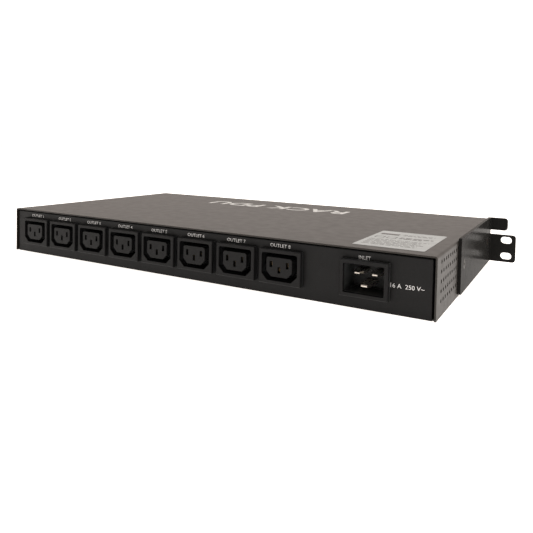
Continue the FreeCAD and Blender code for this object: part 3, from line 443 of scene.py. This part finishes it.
def label_frames(height):
    """The heading block and two ruled boxes."""
    loops = [bar(LABEL_MARGIN, LABEL_MARGIN + HEADING_WIDTH,
                 height - HEADING_TO, height - HEADING_FROM)]
    low, high = height - BOX_TO, height - BOX_FROM
    for start in (LABEL_MARGIN, LABEL_MARGIN + BOX_PITCH):
        end = start + BOX_WIDTH
        loops += [bar(start, end, low, low + RULE), bar(start, end, high - RULE, high),
                  bar(start, start + RULE, low, high), bar(end - RULE, end, low, high)]
    return loops


def label_rows(width, height):
    """Rows of plain bars of random lengths that stand for small print."""
    dice = random.Random(PRINT_SEED)
    rows = [(height - y, HEADING_ROWS_START, SMALL_ROW) for y in HEADING_ROWS]
    rows += [(height - y, BOX_ROWS_START, LARGE_ROW) for y in BOX_ROWS]
    rows += [(height - FIRST_FULL_ROW - FULL_ROW_PITCH * i, LABEL_MARGIN, SMALL_ROW)
             for i in range(FULL_ROWS)]
    loops = []
    for y, x, thickness in rows:
        end = width - LABEL_MARGIN - dice.uniform(0, RAGGED_EDGE)
        while x < end:
            word = dice.uniform(WORD_SHORTEST, WORD_LONGEST)
            loops.append(bar(x, min(x + word, end), y, y + thickness))
            x += word + WORD_GAP
    return loops


def print_label(dark):
    low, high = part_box("rating_label")
    width, height = high.x - low.x, high.y - low.y
    loops = label_frames(height) + label_rows(width, height)
    flat_shape("print_label_rows", loops, "top", (low.x, low.y, high.z), dark)


# ---- studio ---------------------------------------------------------------------------
def make_floor():
    """A square of paper, centred under the object."""
    mesh = bpy.data.meshes.new("floor")
    corners = [(x, y, 0) for x, y in bar(-FLOOR_REACH, FLOOR_REACH, -FLOOR_REACH, FLOOR_REACH)]
    mesh.from_pydata(corners, [], [(0, 1, 2, 3)])
    floor = bpy.data.objects.new("floor", mesh)
    bpy.context.scene.collection.objects.link(floor)
    floor.data.materials.append(studio_paper())


def make_area_light(name, place, size, power):
    """Rectangular light that faces the middle of the object's foot."""
    light = bpy.data.lights.new(name, "AREA")
    light.shape = "RECTANGLE"
    light.size, light.size_y = size
    light.energy = power
    lamp = bpy.data.objects.new(name, light)
    lamp.location = place
    lamp.rotation_euler = (-Vector(place)).to_track_quat("-Z", "Y").to_euler()
    bpy.context.scene.collection.objects.link(lamp)


def make_world():
    """White room, brighter behind the front panel than behind the outlets."""
    world = bpy.data.worlds.new("studio")
    bpy.context.scene.world = world
    world.use_nodes = True
    tree = world.node_tree
    direction = tree.nodes.new("ShaderNodeTexCoord").outputs["Generated"]
    split = tree.nodes.new("ShaderNodeSeparateXYZ")
    tree.links.new(direction, split.inputs["Vector"])
    ramp = tree.nodes.new("ShaderNodeMapRange")
    ramp.inputs["From Min"].default_value, ramp.inputs["From Max"].default_value = ROOM_RAMP
    ramp.inputs["To Min"].default_value = ROOM_DARK
    ramp.inputs["To Max"].default_value = ROOM_BRIGHT
    tree.links.new(split.outputs["Y"], ramp.inputs["Value"])
    tree.links.new(ramp.outputs["Result"], tree.nodes["Background"].inputs["Strength"])
    tree.nodes["Background"].inputs["Color"].default_value = ROOM_COLOR


def make_camera():
    camera = bpy.data.cameras.new("camera")
    camera.lens = CAMERA_LENS
    camera.sensor_width = CAMERA_SENSOR
    camera.shift_y = CAMERA_SHIFT_Y
    camera.clip_start = CAMERA_NEAR
    holder = bpy.data.objects.new("camera", camera)
    turn = (Matrix.Rotation(CAMERA_YAW, 4, "Z") @ Matrix.Rotation(math.pi / 2 + CAMERA_PITCH, 4, "X")
            @ Matrix.Rotation(CAMERA_ROLL, 4, "Z"))
    holder.matrix_world = Matrix.Translation(Vector(CAMERA_PLACE)) @ turn
    bpy.context.scene.collection.objects.link(holder)
    bpy.context.scene.camera = holder


materials = slot_materials()
paint_cad_nodes(materials)
white_ink = ink("white_ink", (0.86, 0.86, 0.85))
grey_ink = ink("grey_ink", (0.55, 0.55, 0.53))
dark_ink = ink("dark_ink", (0.06, 0.056, 0.054))
print_rear_panel(white_ink)
print_front_panel(white_ink)
print_cover(grey_ink)
print_label(dark_ink)

make_floor()
make_world()
make_area_light("overhead", place=(0.1, 0.3, 1.6), size=(2.4, 1.6), power=20)
make_area_light("left_front", place=(-1.3, -1.4, 0.9), size=(1.0, 1.0), power=3)
make_camera()
bpy.context.scene.view_settings.view_transform = "Standard"
